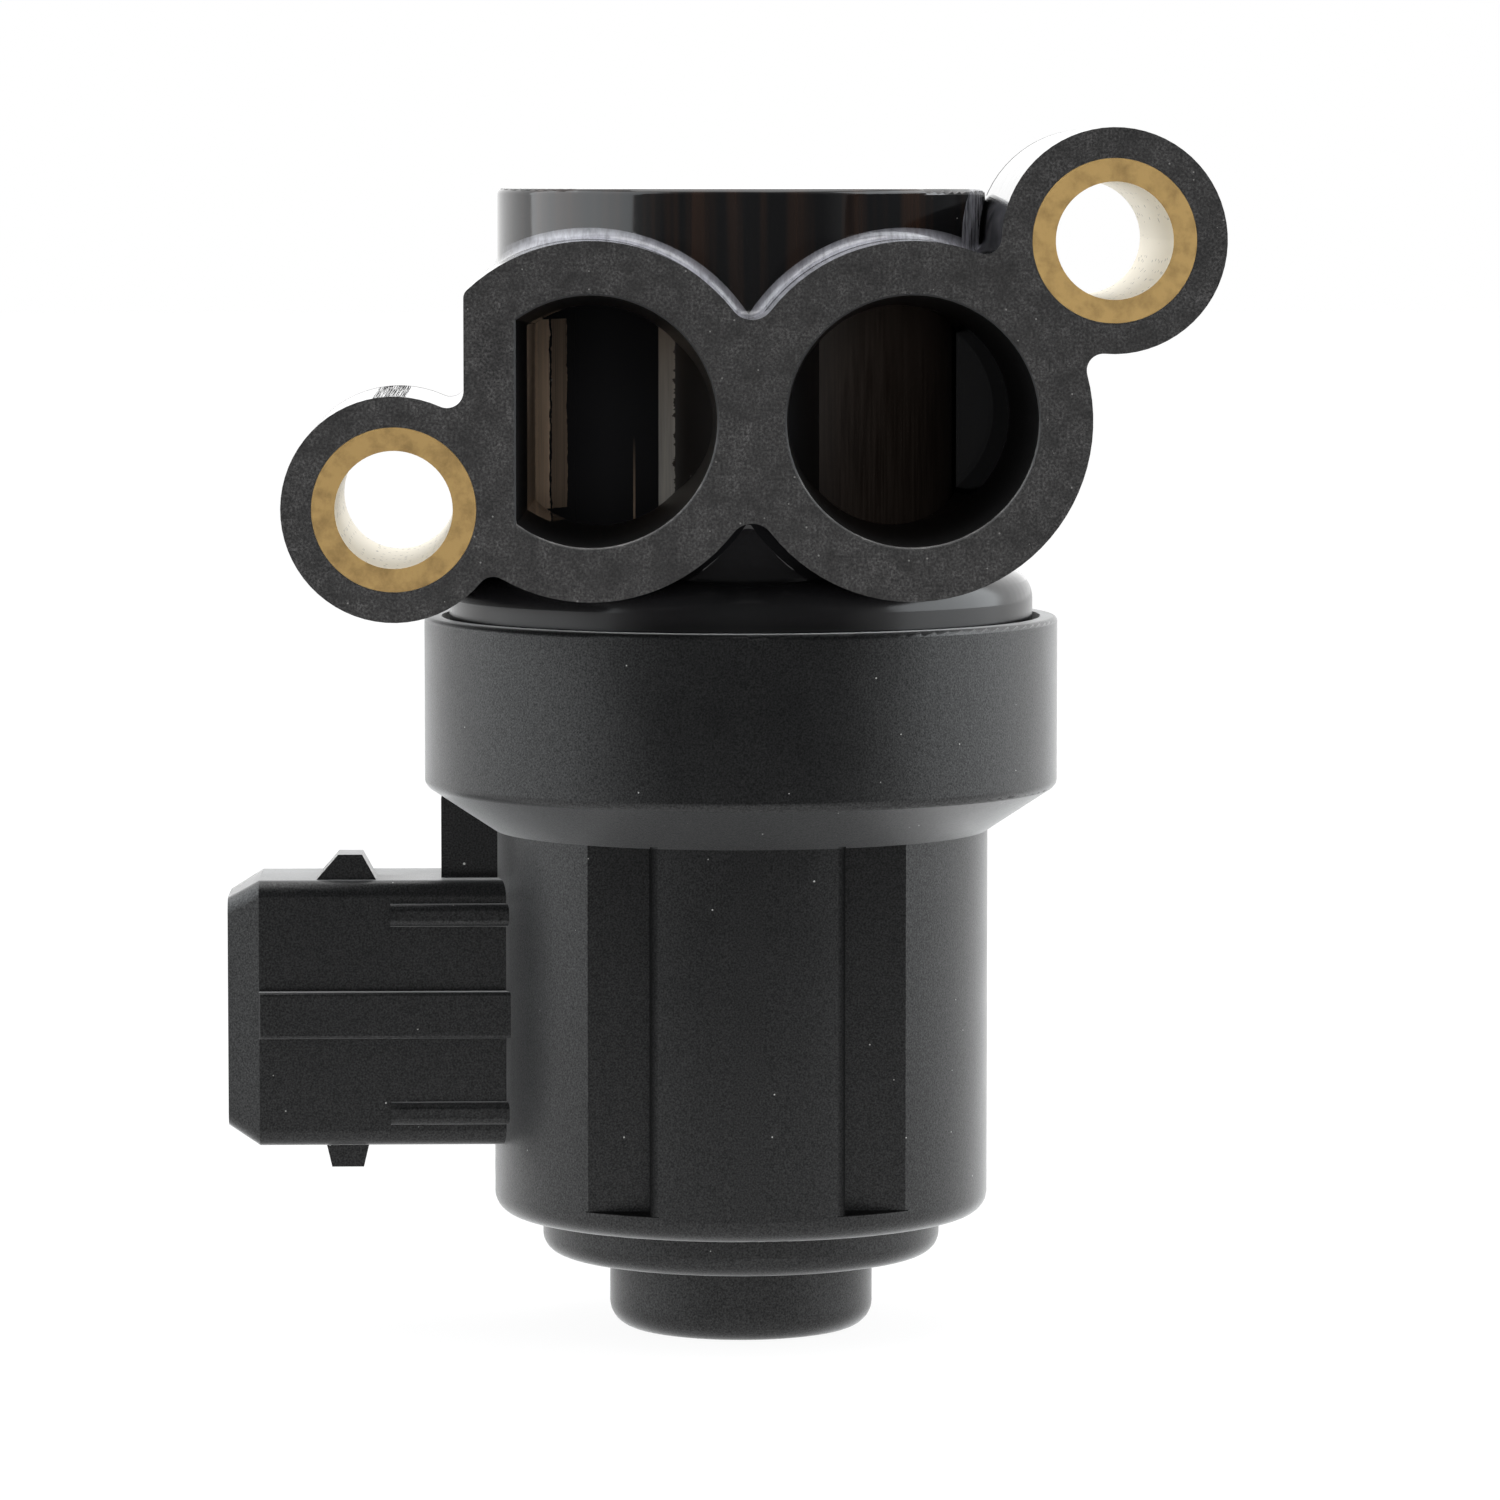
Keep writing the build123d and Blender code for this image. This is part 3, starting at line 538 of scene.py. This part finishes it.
# bare metal and plain inner pieces: two colours, roughness from and to, share of metal,
# grain scale along x, y and z, and the pieces
innerFinishes = {
    "cast_alloy": {
        "base": (0.52, 0.52, 0.53, 1), "mark": (0.36, 0.36, 0.37, 1), "rough": (0.4, 0.6), "metal": 0.9,
        "grain": (1500.0, 1500.0, 1500.0), "pieces": ["bearing_plate"],
    },
    "ground_steel": {
        "base": (0.56, 0.56, 0.57, 1), "mark": (0.42, 0.42, 0.43, 1), "rough": (0.18, 0.34), "metal": 1.0,
        "grain": (300.0, 300.0, 6000.0), "pieces": ["shaft", "stop_pin", "shutter_circlip", "preload_washer"],
    },
    "bearing_steel": {
        "base": (0.62, 0.62, 0.63, 1), "mark": (0.5, 0.5, 0.51, 1), "rough": (0.12, 0.24), "metal": 1.0,
        "grain": (400.0, 400.0, 7000.0),
        "pieces": [name for name in nodes if "_bearing_" in name and not name.endswith("cage")],
    },
    "cage_brass": {
        "base": (0.60, 0.40, 0.14, 1), "mark": (0.42, 0.26, 0.08, 1), "rough": (0.3, 0.46), "metal": 1.0,
        "grain": (1800.0, 1800.0, 1800.0), "pieces": ["upper_bearing_cage", "lower_bearing_cage"],
    },
    "magnet_ferrite": {
        "base": (0.055, 0.055, 0.057, 1), "mark": (0.10, 0.10, 0.10, 1), "rough": (0.5, 0.7), "metal": 0.2,
        "grain": (2600.0, 2600.0, 2600.0), "pieces": ["rotor_magnet"],
    },
    "yoke_steel": {
        "base": (0.38, 0.38, 0.39, 1), "mark": (0.25, 0.25, 0.25, 1), "rough": (0.34, 0.55), "metal": 1.0,
        "grain": (700.0, 700.0, 4000.0), "pieces": ["yoke_sleeve", "front_pole_shoe", "rear_pole_shoe"],
    },
    "bobbin_nylon": {
        "base": (0.56, 0.50, 0.38, 1), "mark": (0.46, 0.40, 0.29, 1), "rough": (0.42, 0.55), "metal": 0.0,
        "grain": (900.0, 900.0, 900.0), "pieces": ["opening_coil_bobbin", "closing_coil_bobbin"],
    },
    "winding_wire": {
        "base": (0.46, 0.17, 0.06, 1), "mark": (0.22, 0.07, 0.025, 1), "rough": (0.22, 0.34), "metal": 0.85,
        "grain": (900.0, 6000.0, 900.0), "pieces": ["opening_coil_winding", "closing_coil_winding"],
    },
    "tinned_blade": {
        "base": (0.62, 0.62, 0.60, 1), "mark": (0.48, 0.48, 0.46, 1), "rough": (0.24, 0.4), "metal": 1.0,
        "grain": (200.0, 4000.0, 4000.0),
        "pieces": ["opening_terminal", "supply_terminal", "closing_terminal"],
    },
    "seal_rubber": {
        "base": (0.020, 0.020, 0.020, 1), "mark": (0.045, 0.045, 0.045, 1), "rough": (0.6, 0.78),
        "metal": 0.0, "grain": (2400.0, 2400.0, 2400.0), "pieces": ["housing_seal", "shaft_seal"],
    },
}
innerGrain = {"detail": 4.0, "roughness": 0.6, "light": (0.36, 0.68), "rough": (0.3, 0.7), "height": 0.000008}


def makeInner(name, look):
    material, shader = newMaterial(name)
    point = objectPoint(material)
    grain = streaked(material, point, look["grain"], innerGrain["detail"], innerGrain["roughness"])
    share = remap(material, grain, *innerGrain["light"])
    connect(material, blendColour(material, share, look["base"], look["mark"]), shader, "Base Color")
    connect(material, remap(material, grain, *innerGrain["rough"], *look["rough"]), shader, "Roughness")
    shader.inputs["Metallic"].default_value = look["metal"]
    connect(material, bump(material, together(material, grain, innerGrain["height"])), shader, "Normal")
    return material


paint(makeUpperMoulding(upperFinish), "valve_housing")
paint(makeLowerMoulding(lowerFinish), "motor_housing")
paint(makeBushBrass(bushFinish), "right_ear_bush", "left_ear_bush")
paint(makeShutterSkin(shutterFinish), "rotary_shutter")
for finishName, finishLook in innerFinishes.items():
    paint(makeInner(finishName, finishLook), *finishLook["pieces"])
print("finishes painted")

# white floor and world, the world darker behind the camera and brighter in reflections ahead of it
studio = {
    "white": (1, 1, 1, 1), "floorLow": (-3.0, -0.15), "floorHigh": (3.0, 4.0),
    "floorColour": (0.9, 0.9, 0.9, 1), "floorRough": 0.9, "floorGlow": 1.03, "floorGlowShare": 0.9,
    "worldStrength": (-0.80, -0.28, 0.08, 1.0), "seenStrength": 1.0, "backShine": (0.0, 0.8, 0.0, 0.4),
}
boxBlue = (0.91, 0.965, 1.0)
lamps = [
    {"name": "left_box", "at": (-0.57, -0.025, 0.26), "size": (0.88, 0.66), "watts": 3.4, "colour": boxBlue},
    {"name": "right_box", "at": (0.57, 0.03, 0.26), "size": (0.77, 0.66), "watts": 3.9, "colour": boxBlue},
    {"name": "top_box", "at": (0.0, 0.03, 0.80), "size": (0.8, 0.8), "watts": 4.0},
    {"name": "front_fill", "at": (-0.03, -0.75, 0.05), "size": (0.25, 0.25), "watts": 2.0, "inShine": False},
]


# pale floor that shows white to the camera and in reflections, with the shadow left in it
def makeFloorWhite(look):
    material, shader = newMaterial("floor_white")
    shader.inputs["Base Color"].default_value = look["floorColour"]
    shader.inputs["Roughness"].default_value = look["floorRough"]
    glow = addNode(material, "Emission", {"Color": look["white"], "Strength": look["floorGlow"]})
    path = addNode(material, "LightPath").outputs
    seen = either(material, path["Is Camera Ray"], path["Is Glossy Ray"], path["Is Transmission Ray"])
    share = together(material, seen, look["floorGlowShare"])
    mix = addNode(material, "MixShader", {0: share, 1: shader.outputs["BSDF"], 2: glow.outputs["Emission"]})
    connect(material, mix.outputs["Shader"], material.node_tree.nodes["Material Output"], "Surface")
    return material


def makeFloor(look):
    plane = bmesh.new()
    (left, near), (right, far) = look["floorLow"], look["floorHigh"]
    corners = ((left, near), (right, near), (right, far), (left, far))
    plane.faces.new([plane.verts.new((x, y, cadLow.z)) for x, y in corners])
    mesh = bpy.data.meshes.new("floor")
    plane.to_mesh(mesh)
    plane.free()
    mesh.materials.append(makeFloorWhite(look))
    floor = bpy.data.objects.new("floor", mesh)
    bpy.context.scene.collection.objects.link(floor)


def makeWorld(look):
    world = bpy.data.worlds.new("studio")
    bpy.context.scene.world = world
    world.use_nodes = True
    background = world.node_tree.nodes["Background"]
    background.inputs["Color"].default_value = look["white"]
    _, forward, _ = splitPoint(world, addNode(world, "TexCoord").outputs["Generated"])
    path = addNode(world, "LightPath").outputs
    strength = remap(world, forward, *look["worldStrength"])
    shine = remap(world, forward, *look["backShine"])
    strength = math(world, "MULTIPLY_ADD", shine, path["Is Glossy Ray"], strength)
    strength = blendValue(world, path["Is Camera Ray"], strength, look["seenStrength"])
    connect(world, strength, background, "Strength")


def makeLamp(look):
    data = bpy.data.lights.new(look["name"], "AREA")
    data.shape = "RECTANGLE"
    data.size, data.size_y = look["size"]
    data.energy = look["watts"]
    data.color = look.get("colour", (1, 1, 1))
    lamp = bpy.data.objects.new(look["name"], data)
    bpy.context.scene.collection.objects.link(lamp)
    lamp.location = look["at"]
    aim = (cadLow + cadHigh) / 2 - Vector(look["at"])
    lamp.rotation_euler = aim.to_track_quat("-Z", "Y").to_euler()
    lamp.visible_camera = False
    lamp.visible_glossy = look.get("inShine", True)


makeFloor(studio)
makeWorld(studio)
for lampLook in lamps:
    makeLamp(lampLook)
print("studio lit")

# camera at the photograph's place, yaw and pitch in radians, lens and sensor in millimetres
view = {"at": (-0.01627, -0.5130, 0.01778), "yaw": 0.0314, "pitch": -0.0806, "lens": 171.12, "sensor": 36.0}


def makeCamera(look):
    data = bpy.data.cameras.new("camera")
    data.lens = look["lens"]
    data.sensor_width = look["sensor"]
    camera = bpy.data.objects.new("camera", data)
    bpy.context.scene.collection.objects.link(camera)
    camera.location = look["at"]
    level = cos(look["pitch"])
    ahead = Vector((sin(look["yaw"]) * level, cos(look["yaw"]) * level, sin(look["pitch"])))
    camera.rotation_euler = ahead.to_track_quat("-Z", "Y").to_euler()
    bpy.context.scene.camera = camera


makeCamera(view)
bpy.context.scene.view_settings.view_transform = "Standard"
print("camera placed")
